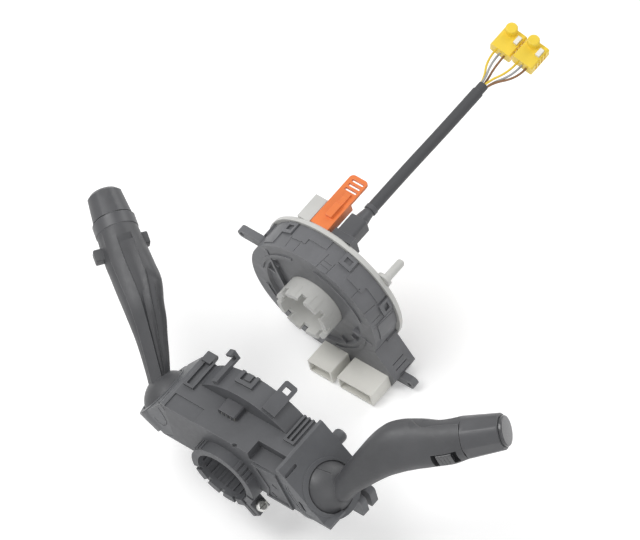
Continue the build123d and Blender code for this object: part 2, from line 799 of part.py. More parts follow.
def recess_bars():
    """Bars that cross the sunk ring on the drum's front."""
    back = drum_front + recess_depth + 1
    bars = []
    for x0, z0, x1, z1 in ((-24.2, -2.3, -31.5, 34.0), (30.0, -8.3, 45.0, -12.6)):
        length = sqrt((x1 - x0) ** 2 + (z1 - z0) ** 2)
        angle = degrees(atan2(z1 - z0, x1 - x0))
        flat = Pos((x0 + x1) / 2, (z0 + z1) / 2) * Rot(0, 0, angle) * Rectangle(length, 1.8)
        bars.append(along(flat, drum_front - 0.5, back))
    for angle in (-75, -55, 105, 125, 150, 215):
        rib = box(-0.6, 0.6, drum_front + 0.6, back, recess_radius - 6, recess_radius + 1)
        bars.append(around(rib, angle))
    return joined(bars)


def side_panel(first, last, start):
    """Raised panel on the drum's side, between two angles, from a start to the drum's rear."""
    height = 0.7
    far = 2 * drum_radius
    angles = [first + (last - first) * i / 3 for i in range(4)]
    wedge = polygon([(0, 0)] + [(far * sin(radians(a)), far * cos(radians(a))) for a in angles])
    ring = Circle(drum_radius + height) - Circle(drum_radius - 0.5)
    return along(ring & wedge, start, drum_rear)


def socket_base():
    """Squared lower corner of the drum that carries the two sockets."""
    right = shroud_spans[1][1]
    outer = drum_radius + 7
    outline = [
        (-4, -drum_radius + 4),
        (-2, shroud_bottom),
        (right, shroud_bottom),
        (outer, shroud_top - 2),
        (drum_radius - 4.3, -21),
        (drum_radius - 10, -20),
    ]
    base = along(polygon(outline), drum_front, drum_rear)
    base -= disc(drum_radius - 1, 0, drum_rear + 1)
    grooved = along(offset(polygon(outline), -1.2), drum_front + 5, drum_rear - 5)
    for z in (-36, -40, -44):
        groove = box(outer - 9, outer + 3, drum_front + 5, drum_rear - 5, z - 0.35, z + 0.35)
        base -= groove - grooved
    return base


def stator_ears():
    """Two ears at the drum's sides with holes for the clock spring's screws."""
    ears = []
    for side, z in ((-1, ear_left_z), (1, ear_right_z)):
        inner = drum_radius - 10
        outer = ear_reach[0] if side < 0 else ear_reach[1]
        middle = side * (inner + outer) / 2
        ear = along(Pos(middle, z) * SlotOverall(outer - inner, ear_width), ear_front, ear_rear)
        hole = side * (outer - ear_width / 2)
        ears.append(ear - disc(ear_hole_radius, ear_front - 5, ear_rear + 5, x=hole, z=z))
    return joined(ears)


def shroud(span):
    """Socket for the harness plug, open towards the front."""
    x0, x1 = span
    outer = box(x0, x1, shroud_front, drum_front, shroud_bottom, shroud_top)
    outer = fillet(outer.edges().filter_by(Axis.Y), 0.8)
    inner = box(
        x0 + shroud_wall,
        x1 - shroud_wall,
        shroud_front - 1,
        drum_front - 2.5,
        shroud_bottom + shroud_wall,
        shroud_top - shroud_wall,
    )
    key = box((x0 + x1) / 2 - 1, (x0 + x1) / 2 + 1, -3, drum_front - 2, shroud_top - 2.4, shroud_top - 1)
    return outer - inner + key


def shroud_contacts(span, count):
    """Contact blades in one socket."""
    x0, x1 = span
    pitch = (x1 - x0 - 2 * shroud_wall - 2) / count
    blades = []
    for i in range(count):
        x = x0 + shroud_wall + 1 + pitch * (i + 0.5)
        for z in (-50.6, -46.4):
            blades.append(box(x - 0.35, x + 0.35, -1, drum_front - 2.5, z - 0.35, z + 0.35))
    return grouped(blades)


def flat_cable():
    """Flat cable wound from hub to drum wall, as half turns of growing radius."""
    inner = hub_radius + hub_gap
    outer = drum_radius - drum_wall - hub_gap - ribbon_thickness
    halves = 2 * ribbon_turns + 1
    step = (outer - inner) / halves
    turns = []
    for i in range(halves):
        radius = inner + step * (i + 0.5)
        ring = Circle(radius + ribbon_thickness) - Circle(radius)
        half = Rectangle(200, 100, align=(Align.CENTER, Align.MIN if i % 2 else Align.MAX))
        shift = step / 2 if i % 2 else -step / 2
        turns.append(along(Pos(shift, 0) * (ring & half), 19, 31))
    return joined(turns)


def rotor_hub():
    """Hub through the drum, with a toothed front rim that the column's cam meets."""
    hub = tube(hub_radius, hub_bore_radius, 0, drum_rear + flange_gap)
    half = 2.2
    gap = box(-half, half, -1, 4.5, hub_bore_radius - 1, hub_radius + 1)
    for i in range(8):
        hub -= around(gap, 45 * i + 10)
    rib = box(-0.6, 0.6, 0, 9, hub_radius - 0.5, hub_radius + 0.2)
    for i in range(8):
        for turn in (-7, 7):
            hub += around(rib, 45 * i + 32.5 + turn)
    return hub


def rotor_cover():
    """Turning cover on the driver's side, with the drive peg and the plug box."""
    front = drum_rear + flange_gap
    rear = front + flange_thickness
    cover = spun(
        [
            (hub_bore_radius, front),
            (flange_radius, front),
            (flange_radius, rear - 1.2),
            (flange_radius - 1.2, rear),
            (hub_bore_radius, rear),
        ]
    )
    x, z = peg_place
    peg = disc(peg_radius, rear - 0.5, peg_end, x=x, z=z)
    peg = fillet(peg.edges().sort_by(Axis.Y)[-1], peg_radius - 0.4)
    boss = disc(5.2, rear - 0.5, rear + 2, x=x - 1.5, z=z - 1.0)
    plug_box = box(-22, -12.6, rear - 0.5, 56, 38, 49.4)
    plug_box -= box(-20.6, -14, rear + 2, 57, 39.4, 48)
    return cover + boss + peg + plug_box


def outlet():
    """Cable outlet on the rotor, stepped, with a tapered neck that grips the pigtail."""
    rear = drum_rear + flange_gap + flange_thickness
    x, end, z = cable_route[0]
    block = box(x - 7.4, x + 8.6, rear, rear + 5.5, z - 9.4, z + 5.0)
    body = box(x - 5.6, x + 6.4, rear + 5, outlet_block_end, z - 6.4, z + 5.2)
    body = fillet(body.edges().filter_by(Axis.Y).group_by(Axis.X)[-1], 2.4)
    block += chamfer(body.edges().group_by(Axis.Y)[-1], 0.6)
    base = (Align.CENTER, Align.CENTER, Align.MIN)
    neck = Cone(5.0, 3.3, end - 2.4 - outlet_block_end + 0.5, align=base)
    block += Pos(x, outlet_block_end - 0.5, z) * Rot(-90, 0, 0) * neck
    return block + disc(4.3, end - 2.9, end, x=x, z=z)


def lock_tab():
    """Pull tab that holds the rotor in the middle until the unit is fitted."""
    foot = drum_rear + flange_gap + flange_thickness + 0.1
    left, right = -11.6, 2.4
    low, high = 48.6, 50.6
    tab = box(left, right, foot, tab_end, low, high)
    tab = fillet(tab.edges().filter_by(Axis.Z).group_by(Axis.Y)[-1], 3)
    for i in range(3):
        y = tab_end - 12 + 3.6 * i
        tab -= box(-8.5, 0.5, y, y + 1.8, low - 1, high + 1)
    tab += box(-5.4, -0.6, foot + 8, foot + 19, high - 0.1, high + 2.4)
    tab += box(-5.0, -1.0, foot + 18, foot + 29, high - 0.1, high + 1.4)
    tab += box(right - 1.4, right, foot, foot + 24, 43.5, high)
    tab += box(left, right, foot, foot + 7.9, 44, low + 0.4)
    return tab


# Pigtail
def cord(points, radius):
    """Round cord along straight runs that are joined by tangent arcs."""
    points = [Vector(*point) for point in points]
    radii = []
    for before, corner, after in zip(points, points[1:], points[2:]):
        turn = radians((corner - before).get_angle(after - corner))
        run = min((corner - before).length, (after - corner).length)
        radii.append(0.45 * run / tan(turn / 2))
    print("cord radii", [round(value, 1) for value in radii])
    path = FilletPolyline(*points, radius=radii)
    return sweep(Plane(origin=path @ 0, z_dir=path % 0) * Circle(radius), path)


def sleeve_band():
    """Heat-shrunk band round the wires at the end of the sleeve."""
    x, end, z = cable_route[-1]
    inner = wire_ring_radius + wire_radius + 0.15
    outer = inner + band_wall
    return disc(outer, end, band_end, x=x, z=z) - disc(inner, end - 1, band_end + 1, x=x, z=z)


def wire_route(number, index):
    """Points of one wire, from the sleeve's end to its plug; the outer ones leave outermost."""
    side = 1 if number else -1
    order = index - 1
    x, end, z = cable_route[-1]
    if order == side:
        x0, z0 = x + side * 0.95 * wire_ring_radius, z
    else:
        x0 = x + side * 0.45 * wire_ring_radius
        z0 = z - side * 0.86 * wire_ring_radius * (1 if order == 0 else -1)
    roll = radians(plug_roll)
    x1 = plug_middles[number] + order * wire_pitch * cos(roll)
    z1 = plug_z - order * wire_pitch * sin(roll)
    return [(x0, end, z0), (x0, band_end + 2.5, z0), (x1, plug_rear - 9, z1), (x1, plug_rear, z1)]


def plug(number):
    """Flat plug with a round barrel that stands up at its end, and side latches."""
    half = plug_width / 2
    body = box(-half, half, 0, plug_length, -plug_height / 2, plug_height / 2)
    body = chamfer(body.edges().filter_by(Axis.Y), 1.0)
    for y in (4, 7, 10, 13):
        body -= box(half - 0.7, half + 1, y, y + 1.3, -3, plug_height)
    top = plug_height / 2
    barrel_y = plug_length - plug_barrel_radius + 1
    barrel = Pos(-2.6, barrel_y, top - 0.5) * Cylinder(
        plug_barrel_radius, plug_barrel_height + 0.5, align=(Align.CENTER, Align.CENTER, Align.MIN)
    )
    barrel = fillet(barrel.edges().sort_by(Axis.Z)[-1], 1.2)
    body += barrel
    body -= box(3.0, 6.2, 9, 15, top - 3.5, top + 1)
    return placed_plug(body, number)


def placed_plug(piece, number):
    """Set a piece of a plug in its place at the end of the wires."""
    return Pos(plug_middles[number], plug_rear, plug_z) * Rot(0, plug_roll, 0) * piece


def plug_lock(number):
    """Secondary lock that presses down into the plug."""
    top = plug_height / 2
    lock = box(3.1, 6.1, 9.1, 14.9, top - 3.5 + lock_travel + 0.05, top + lock_travel + 0.2)
    return placed_plug(lock, number)


def lever_nodes():
    """Pieces of both lever modules."""
    turn = {
        "turn_gimbal": gimbal(),
        "turn_detent_plunger": plunger(),
        "turn_detent_spring": plunger_spring(),
        "turn_stalk_pin": stalk_pin(),
        "turn_stalk": turn_stalk(),
        "fog_lamp_ring": turn_ring(),
        "light_knob": turn_knob(),
        "turn_switch_case": lever_case(False),
    }
    nodes = {name: mirror(shape, about=Plane.YZ) for name, shape in turn.items()}
    nodes["wiper_switch_case"] = lever_case(True)
    nodes["wiper_gimbal"] = gimbal()
    nodes["wiper_detent_plunger"] = plunger()
    nodes["wiper_detent_spring"] = plunger_spring()
    nodes["wiper_stalk_pin"] = stalk_pin()
    nodes["wiper_stalk"] = wiper_stalk()
    nodes["wiper_knob"] = wiper_knob()
    nodes["interval_slider"] = wiper_slider()
    nodes["washer_button"] = end_button()
    return nodes


def clock_nodes():
    """Pieces of the clock spring and its pigtail, moved to where they stand lifted off."""
    nodes = {
        "clock_spring_drum": stator(),
        "harness_socket_small": shroud(shroud_spans[0]),
        "harness_socket_large": shroud(shroud_spans[1]),
        "small_socket_contacts": shroud_contacts(shroud_spans[0], shroud_pin_counts[0]),
        "large_socket_contacts": shroud_contacts(shroud_spans[1], shroud_pin_counts[1]),
        "flat_cable": flat_cable(),
        "rotor_hub": rotor_hub(),
        "rotor_cover": rotor_cover(),
        "cable_outlet": outlet(),
        "rotor_lock_tab": lock_tab(),
        "pigtail_sleeve": cord(cable_route, cable_radius),
        "sleeve_band": sleeve_band(),
    }
    for number in range(len(plug_middles)):
        nodes[f"airbag_plug_{number + 1}"] = plug(number)
        nodes[f"plug_lock_{number + 1}"] = plug_lock(number)
        for index in range(wires_per_plug):
            route = wire_route(number, index)
            nodes[f"wire_{number * wires_per_plug + index + 1}"] = cord(route, wire_radius)
    return {name: Pos(*clock_rest) * shape for name, shape in nodes.items()}


def housing_nodes():
    """Pieces fixed to the switch housing, and the pawl in its dish."""
    return {
        "switch_body": switch_body() + pawl_guides(),
        "clamp_screw": clamp_screw(),
        "left_bottom_cover": bottom_cover(-1),
        "right_bottom_cover": bottom_cover(1),
        "circuit_board": circuit_board(),
        "board_screws": board_screws(),
        "deck_connector": deck_connector(),
        "deck_connector_contacts": connector_pins(),
        "cancel_pawl": cancel_pawl(),
        "pawl_spring": pawl_spring(),
    }


for name, shape in {**housing_nodes(), **lever_nodes(), **clock_nodes()}.items():
    export_step(shape, f"parts/{name}.step")
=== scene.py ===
import json
from math import cos, radians, sin

import bmesh
import bpy
from mathutils import Matrix, Vector


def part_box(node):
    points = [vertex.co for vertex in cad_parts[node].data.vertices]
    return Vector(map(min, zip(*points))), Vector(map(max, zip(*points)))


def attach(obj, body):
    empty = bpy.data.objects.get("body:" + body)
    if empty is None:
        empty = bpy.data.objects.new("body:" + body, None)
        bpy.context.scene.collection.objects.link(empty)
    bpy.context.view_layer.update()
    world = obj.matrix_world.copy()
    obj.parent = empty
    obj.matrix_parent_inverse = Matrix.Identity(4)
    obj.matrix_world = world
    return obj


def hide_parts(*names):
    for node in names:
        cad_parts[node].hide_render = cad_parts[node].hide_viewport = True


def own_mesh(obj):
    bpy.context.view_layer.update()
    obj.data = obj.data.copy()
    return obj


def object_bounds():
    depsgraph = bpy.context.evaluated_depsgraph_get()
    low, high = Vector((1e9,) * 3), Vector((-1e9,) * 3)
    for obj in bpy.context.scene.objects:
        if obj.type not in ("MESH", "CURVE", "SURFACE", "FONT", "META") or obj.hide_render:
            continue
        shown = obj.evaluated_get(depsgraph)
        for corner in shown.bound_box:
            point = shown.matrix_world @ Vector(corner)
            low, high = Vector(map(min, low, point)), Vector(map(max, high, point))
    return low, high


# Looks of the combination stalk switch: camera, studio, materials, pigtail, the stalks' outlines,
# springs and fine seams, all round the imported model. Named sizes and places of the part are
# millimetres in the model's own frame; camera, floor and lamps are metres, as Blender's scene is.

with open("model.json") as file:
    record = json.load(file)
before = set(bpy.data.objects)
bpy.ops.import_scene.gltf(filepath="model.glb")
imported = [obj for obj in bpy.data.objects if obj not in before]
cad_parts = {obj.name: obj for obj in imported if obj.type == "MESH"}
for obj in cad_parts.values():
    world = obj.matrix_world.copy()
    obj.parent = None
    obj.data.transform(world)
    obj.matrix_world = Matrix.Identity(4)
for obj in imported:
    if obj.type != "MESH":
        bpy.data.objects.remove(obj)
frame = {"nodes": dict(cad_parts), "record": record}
CAD_LOW, CAD_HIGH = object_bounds()
NODES = frame["nodes"]
SLOTS = {row["node"]: row["material_slot"] for row in frame["record"]["subparts"]}
MM = 0.001

# The drawing's view: across and down in the picture, and towards the eye, with the picture's scale,
# the pixel that shows the frame's origin, and how far in front of it rays start
ACROSS = Vector((0.7646, 0.6204, -0.1747))
DOWN = Vector((0.4344, -0.6963, -0.5715))
TOWARDS = Vector((0.4762, -0.3611, 0.8019))
PIXELS_PER_MM = 1.6
ORIGIN_PIXEL = (222, 477.8)
RAY_START = 400


def mm(x, y, z):
    """Point of the model's frame in metres, given in millimetres."""
    return Vector((x, y, z)) * MM


def seen(across, down, towards):
    """Point from its place in the drawing's view, in millimetres."""
    return ACROSS * across + DOWN * down + TOWARDS * towards


def crosswise(angle):
    """Direction in the drawing's plane, by its angle below the horizontal."""
    return ACROSS * cos(radians(angle)) + DOWN * sin(radians(angle))


def mirrored(vector):
    """The same vector on the other side of the column."""
    return Vector((-vector.x, vector.y, vector.z))


# Shader nodes
def link(tree, a, out, b, into):
    """Link an output of one node to an input of another."""
    tree.links.new(a.outputs[out], b.inputs[into])


def noise(tree, coords, scale, detail=2.0, rough=0.5):
    """Noise in the object's own coordinates."""
    node = tree.nodes.new("ShaderNodeTexNoise")
    node.inputs["Scale"].default_value = scale
    node.inputs["Detail"].default_value = detail
    node.inputs["Roughness"].default_value = rough
    link(tree, coords, 0, node, "Vector")
    return node


def plus(tree, first, first_out, second, second_out):
    """Sum of two values."""
    node = tree.nodes.new("ShaderNodeMath")
    node.operation = "ADD"
    link(tree, first, first_out, node, 0)
    link(tree, second, second_out, node, 1)
    return node


def ranged(tree, source, out, low, high, to_low, to_high):
    """Map Range node on a value."""
    node = tree.nodes.new("ShaderNodeMapRange")
    for name, value in (("From Min", low), ("From Max", high), ("To Min", to_low), ("To Max", to_high)):
        node.inputs[name].default_value = value
    link(tree, source, out, node, "Value")
    return node


def mixed(tree, factor, first, second):
    """Mix of two colours by a value; each is a colour or another mix."""
    node = tree.nodes.new("ShaderNodeMix")
    node.data_type = "RGBA"
    link(tree, factor, 0, node, 0)
    for index, value in ((6, first), (7, second)):
        if isinstance(value, bpy.types.Node):
            link(tree, value, 2, node, index)
        else:
            node.inputs[index].default_value = (*value, 1)
    return node


def seen_rays(tree):
    """1 for the rays that show a background: from the eye, mirrored or passed through."""
    rays = tree.nodes.new("ShaderNodeLightPath")
    direct = plus(tree, rays, "Is Camera Ray", rays, "Is Glossy Ray")
    return plus(tree, direct, 0, rays, "Is Transmission Ray")


def new_material(name):
    """Material with its node tree and its shader."""
    material = bpy.data.materials.new(name)
    material.use_nodes = True
    return material, material.node_tree, material.node_tree.nodes["Principled BSDF"]


# Camera: a very long lens, almost a parallel view as the drawing's is
LENS = 900
SENSOR = 36
CLIP = (1, 40)
CAMERA_DISTANCE = 10
PICTURE_MIDDLE = mm(-9.6, 128.4, 63.5)


def camera():
    """Camera that looks along the drawing's view and is rolled as the drawing is."""
    right = ACROSS.normalized()
    back = (TOWARDS - right * TOWARDS.dot(right)).normalized()
    up = back.cross(right)
    data = bpy.data.cameras.new("camera")
    data.lens = LENS
    data.sensor_width = SENSOR
    data.clip_start, data.clip_end = CLIP
    shot = bpy.data.objects.new("camera", data)
    bpy.context.scene.collection.objects.link(shot)
    turned = Matrix((right, up, back)).transposed()
    place = PICTURE_MIDDLE + back * CAMERA_DISTANCE
    shot.matrix_world = Matrix.Translation(place) @ turned.to_4x4()
    bpy.context.scene.camera = shot


# Floor and lights; each lamp's row is its name, place from the lit middle, size and power
FLOOR_HALF = 4.0
FLOOR_GAP = 0.001
FLOOR_GLOW = 0.25
ROOM_LIGHT = 0.5
ROOM_SEEN = 0.95
LIT_MIDDLE = mm(0, 100, 20)
LAMPS = (("key", (-0.5, -0.35, 1.3), 0.9, 11), ("fill", (1.2, -0.7, 0.7), 1.1, 5),
         ("rear", (0.1, 1.3, 0.8), 0.8, 5))


def floor_paint():
    """Pale matt floor that the camera and reflections see as nearly white, with its shadows."""
    material, tree, shader = new_material("floor_paint")
    shader.inputs["Base Color"].default_value = (0.9, 0.9, 0.9, 1)
    shader.inputs["Roughness"].default_value = 0.9
    shader.inputs["Specular IOR Level"].default_value = 0.1
    shader.inputs["Emission Color"].default_value = (1, 1, 1, 1)
    link(tree, ranged(tree, seen_rays(tree), 0, 0, 1, 0, FLOOR_GLOW), 0, shader, "Emission Strength")
    return material


def floor():
    """Large plain floor just under the part."""
    height = CAD_LOW.z - FLOOR_GAP
    corners = [(-FLOOR_HALF, -FLOOR_HALF), (FLOOR_HALF, -FLOOR_HALF),
               (FLOOR_HALF, FLOOR_HALF), (-FLOOR_HALF, FLOOR_HALF)]
    mesh = bpy.data.meshes.new("floor")
    mesh.from_pydata([(x, y, height) for x, y in corners], [], [(0, 1, 2, 3)])
    mesh.materials.append(floor_paint())
    plane = bpy.data.objects.new("floor", mesh)
    bpy.context.scene.collection.objects.link(plane)


def room():
    """Pale surroundings, brighter to the eye than as a light."""
    world = bpy.data.worlds.new("studio")
    bpy.context.scene.world = world
    world.use_nodes = True
    tree = world.node_tree
    sky = tree.nodes["Background"]
    sky.inputs["Color"].default_value = (1, 1, 1, 1)
    link(tree, ranged(tree, seen_rays(tree), 0, 0, 1, ROOM_LIGHT, ROOM_SEEN), 0, sky, "Strength")


def lamp(name, offset, size, power):
    """Soft square lamp that looks at the lit middle."""
    data = bpy.data.lights.new(name, "AREA")
    data.size = size
    data.energy = power
    light = bpy.data.objects.new(name, data)
    bpy.context.scene.collection.objects.link(light)
    light.location = LIT_MIDDLE + Vector(offset)
    light.rotation_euler = (LIT_MIDDLE - light.location).to_track_quat("-Z", "Y").to_euler()


def studio():
    """Pale surroundings and floor, and the soft lamps."""
    bpy.context.scene.view_settings.view_transform = "Standard"
    room()
    floor()
    for row in LAMPS:
        lamp(*row)


# Materials: colour, roughness, grains per metre and the grain's depth in millimetres
PAINTS = {
    "housing_plastic": dict(colour=(0.082, 0.084, 0.09), rough=0.5, grain=1500, depth=0.03),
    "cover_plastic": dict(colour=(0.11, 0.112, 0.118), rough=0.42, grain=2200, depth=0.01),
    "case_plastic": dict(colour=(0.098, 0.101, 0.108), rough=0.47, grain=1500, depth=0.03),
    "stalk_plastic": dict(colour=(0.062, 0.063, 0.067), rough=0.46, grain=1150, depth=0.05, cells=True),
    "knob_plastic": dict(colour=(0.07, 0.071, 0.076), rough=0.38, grain=2400, depth=0.01),
    "button_plastic": dict(colour=(0.05, 0.051, 0.055), rough=0.22, grain=3000, depth=0.004, coat=0.3),
    "rotor_plastic": dict(colour=(0.56, 0.56, 0.54), rough=0.36, grain=1800, depth=0.01, vary=0.05),
    "drum_plastic": dict(colour=(0.135, 0.137, 0.145), rough=0.42, grain=2000, depth=0.012),
    "socket_plastic": dict(colour=(0.78, 0.77, 0.72), rough=0.4, grain=1900, depth=0.01, vary=0.05),
    "connector_plastic": dict(colour=(0.075, 0.076, 0.082), rough=0.4, grain=1900, depth=0.01),
    "lock_plastic": dict(colour=(0.78, 0.2, 0.05), rough=0.35, grain=2100, depth=0.01, vary=0.08),
    "plug_plastic": dict(colour=(0.86, 0.62, 0.05), rough=0.38, grain=2100, depth=0.01, vary=0.06),
    "acetal_white": dict(colour=(0.8, 0.8, 0.77), rough=0.35, grain=2000, depth=0.01, vary=0.04),
    "steel": dict(colour=(0.62, 0.62, 0.6), rough=0.32, grain=900, depth=0.01, metal=1.0, stretch=(1, 6, 1)),
    "spring_steel": dict(colour=(0.55, 0.55, 0.54), rough=0.3, grain=900, depth=0.01, metal=1.0),
    "tinned": dict(colour=(0.78, 0.76, 0.7), rough=0.25, grain=1200, depth=0.005, metal=1.0),
    "board": dict(colour=(0.05, 0.22, 0.1), rough=0.3, grain=900, depth=0.01, coat=0.3),
    "film": dict(colour=(0.66, 0.36, 0.1), rough=0.25, grain=500, depth=0.01, stretch=(1, 0.2, 1)),
    "sleeve": dict(colour=(0.055, 0.056, 0.06), rough=0.55, grain=1400, depth=0.03, stretch=(1, 0.15, 1)),
    "wire_yellow": dict(colour=(0.82, 0.58, 0.05), rough=0.35, grain=1500, depth=0.01, vary=0.06),
    "wire_grey": dict(colour=(0.36, 0.37, 0.38), rough=0.35, grain=1500, depth=0.01),
    "wire_brown": dict(colour=(0.25, 0.12, 0.05), rough=0.35, grain=1500, depth=0.01),
}
CLOUD_SCALE = 45
FLOW_SCALE = 260
GLOSS_SPREAD = 0.07
EDGE_RADIUS = 0.5
# Strength of the painted edge highlight: light on rounded edges painted into the colour
EDGE_HIGHLIGHT = 0.5


def shade(colour, factor):
    """Colour made lighter or darker."""
    return tuple(min(1.0, c * factor) for c in colour)


def stretched(tree, scale):
    """The object's own coordinates, stretched along an axis for brushed or drawn surfaces."""
    coords = tree.nodes.new("ShaderNodeTexCoord")
    node = tree.nodes.new("ShaderNodeMapping")
    node.inputs["Scale"].default_value = scale
    link(tree, coords, "Object", node, "Vector")
    return node


def painted_edge_highlight(tree):
    """Mask of the painted edge highlight: a value that rises from 0 on a flat face at a piece's edges."""
    geometry = tree.nodes.new("ShaderNodeNewGeometry")
    rounder = tree.nodes.new("ShaderNodeBevel")
    rounder.samples = 4
    rounder.inputs["Radius"].default_value = EDGE_RADIUS * MM
    bend = tree.nodes.new("ShaderNodeVectorMath")
    bend.operation = "DOT_PRODUCT"
    link(tree, rounder, 0, bend, 0)
    link(tree, geometry, "Normal", bend, 1)
    return ranged(tree, bend, "Value", 0.98, 0.75, 0, EDGE_HIGHLIGHT)


def coloured(tree, place, flow, colour, vary):
    """Colour with broad clouds, fine flow marks and painted light at the edges: a painted highlight on dark
    colours, a little painted shade on pale ones.
    """
    clouds = ranged(tree, noise(tree, place, CLOUD_SCALE, 4), 0, 0.3, 0.7, 0, 1)
    tint = mixed(tree, clouds, shade(colour, 1 - vary), shade(colour, 1 + vary))
    marks = ranged(tree, flow, 0, 0.55, 0.75, 0, 0.35)
    speck = mixed(tree, marks, tint, shade(colour, 1 + 2 * vary))
    # Painted edge colour: dark colours lightened as a painted highlight, pale ones darkened a little as
    # painted shade
    painted_edge_tone = tuple(c + (0.55 - c) * 0.35 if c < 0.5 else c * 0.97 for c in colour)
    return mixed(tree, painted_edge_highlight(tree), speck, painted_edge_tone)


def grained(tree, place, grain, depth, cells):
    """Bump of fine grain, or of leather-like cells."""
    if cells:
        pits = tree.nodes.new("ShaderNodeTexVoronoi")
        pits.inputs["Scale"].default_value = grain
        link(tree, place, 0, pits, "Vector")
    else:
        pits = noise(tree, place, grain)
    bump = tree.nodes.new("ShaderNodeBump")
    bump.inputs["Distance"].default_value = depth * MM
    bump.inputs["Strength"].default_value = 1.0
    link(tree, pits, 0, bump, "Height")
    return bump


def surface(name, colour, rough, grain, depth, metal=0.0, cells=False, coat=0.0, vary=0.12,
            stretch=(1, 1, 1)):
    """Moulded plastic, rubber or metal: grain in the bump, uneven gloss and painted light at the edges."""
    material, tree, shader = new_material(name)
    shader.inputs["Metallic"].default_value = metal
    shader.inputs["Coat Weight"].default_value = coat
    shader.inputs["Coat Roughness"].default_value = 0.15
    place = stretched(tree, stretch)
    flow = noise(tree, place, FLOW_SCALE, 3, 0.6)
    gloss = ranged(tree, flow, 0, 0.25, 0.75, rough - GLOSS_SPREAD, rough + GLOSS_SPREAD)
    link(tree, coloured(tree, place, flow, colour, vary), 2, shader, "Base Color")
    link(tree, gloss, 0, shader, "Roughness")
    link(tree, grained(tree, place, grain, depth, cells), 0, shader, "Normal")
    return material


MATERIALS = {name: surface(name, **values) for name, values in PAINTS.items()}


def paint(piece, slot):
    """Give a piece its material."""
    piece.data.materials.clear()
    piece.data.materials.append(MATERIALS[slot])


def stand_in(piece, node, body):
    """Put a new piece in a node's place, with the node's material and slot, on its body."""
    paint(piece, SLOTS[node])
    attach(piece, body)
    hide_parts(node)


# Curves
def round_curve(name, kind, places, radius, resolution):
    """Curve of round section with one spline through places in metres."""
    data = bpy.data.curves.new(name, "CURVE")
    data.dimensions = "3D"
    data.bevel_depth = radius * MM
    data.bevel_resolution = resolution
    data.use_fill_caps = True
    spline = data.splines.new(kind)
    spline.points.add(len(places) - 1)
    for point, place in zip(spline.points, places):
        point.co = (*place, 1)
    return data


def curve_mesh(data):
    """Mesh of a curve."""
    bare = bpy.data.objects.new("bare", data)
    mesh = bpy.data.meshes.new_from_object(bare)
    bpy.data.objects.remove(bare)
    return mesh


# Pigtail: one sleeve and six wires, their routes as in the part's source
CLOCK_REST = Vector((-35.0, 123.1, 0.0))
CABLE_ROUTE = ((12.5, 69.0, 44.4), (12.5, 102.0, 44.4), (13.3, 142.0, 44.0), (13.3, 175.0, 44.0))
SLEEVE_RADIUS = 3.9
WIRE_RADIUS = 0.75
WIRE_PITCH = 3.4
BAND_END = 181.0
BAND_RUN = 2.5
PLUG_REAR = 206.0
PLUG_RUN = 9
PLUG_Z = 44.2
PLUG_ROLL = 15.0
PLUG_MIDDLES = (6.6, 24.6)
# The wires' ring in the band, and the outer and inner wires' places as shares of it
WIRE_RING = 1.9
OUTER_PLACE = 0.95
INNER_PLACE = (0.45, 0.86)


def lifted(point):
    """Point of the clock spring's own frame, where the drawing shows it, in metres."""
    return mm(*(Vector(point) + CLOCK_REST))


def cord_curve(name, points, radius):
    """Round cord on a smooth spline whose control points are the route's points."""
    data = round_curve(name, "NURBS", [lifted(point) for point in points], radius, 6)
    data.resolution_u = 24
    data.splines[0].order_u = 3
    data.splines[0].use_endpoint_u = True
    piece = bpy.data.objects.new(name, data)
    bpy.context.scene.collection.objects.link(piece)
    return piece


def length_of(piece):
    """Length of a curve's own line, in metres."""
    data = piece.data.copy()
    data.bevel_depth = 0
    data.use_fill_caps = False
    mesh = curve_mesh(data)
    places = [v.co.copy() for v in mesh.vertices]
    bpy.data.meshes.remove(mesh)
    return sum((b - a).length for a, b in zip(places, places[1:]))


def wire_route(plug, index):
    """Points of one of a plug's three wires, from the band to the plug."""
    side = 1 if plug else -1
    order = index - 1
    x, end, z = CABLE_ROUTE[-1]
    if order == side:
        x0, z0 = x + side * OUTER_PLACE * WIRE_RING, z
    else:
        x0 = x + side * INNER_PLACE[0] * WIRE_RING
        z0 = z - side * INNER_PLACE[1] * WIRE_RING * (1 if order == 0 else -1)
    x1 = PLUG_MIDDLES[plug] + order * WIRE_PITCH * cos(radians(PLUG_ROLL))
    z1 = PLUG_Z - order * WIRE_PITCH * sin(radians(PLUG_ROLL))
    return [(x0, end, z0), (x0, BAND_END + BAND_RUN, z0), (x1, PLUG_REAR - PLUG_RUN, z1), (x1, PLUG_REAR, z1)]


def pigtail():
    """Sleeve and wires as smooth cords in place of their solids."""
    sleeve = cord_curve("pigtail_cord", CABLE_ROUTE, SLEEVE_RADIUS)
    stand_in(sleeve, "pigtail_sleeve", "rotor")
    for plug in range(2):
        for index in range(3):
            count = 3 * plug + index + 1
            route = wire_route(plug, index)
            wire = cord_curve(f"wire_cord_{count}", route, WIRE_RADIUS)
            stand_in(wire, f"wire_{count}", "rotor")
            round(length_of(wire), 4)


# Edges: fine bevels in two segments by node, and a plain one for the rest
BEVELS = {"switch_body": 0.3, "turn_stalk": 0.15, "wiper_stalk": 0.15, "turn_switch_case": 0.2,
          "wiper_switch_case": 0.4, "rotor_cover": 0.3, "clock_spring_drum": 0.15, "rotor_hub": 0.25,
          "harness_socket_small": 0.25, "harness_socket_large": 0.25, "airbag_plug_1": 0.25,
          "airbag_plug_2": 0.25, "rotor_lock_tab": 0.25, "cable_outlet": 0.4, "clamp_screw": 0.2,
          "deck_connector": 0.2, "wiper_knob": 0.3, "light_knob": 0.4, "interval_slider": 0.15}
PLAIN_BEVEL = 0.12
CREASE = radians(28)
WELD = 0.005


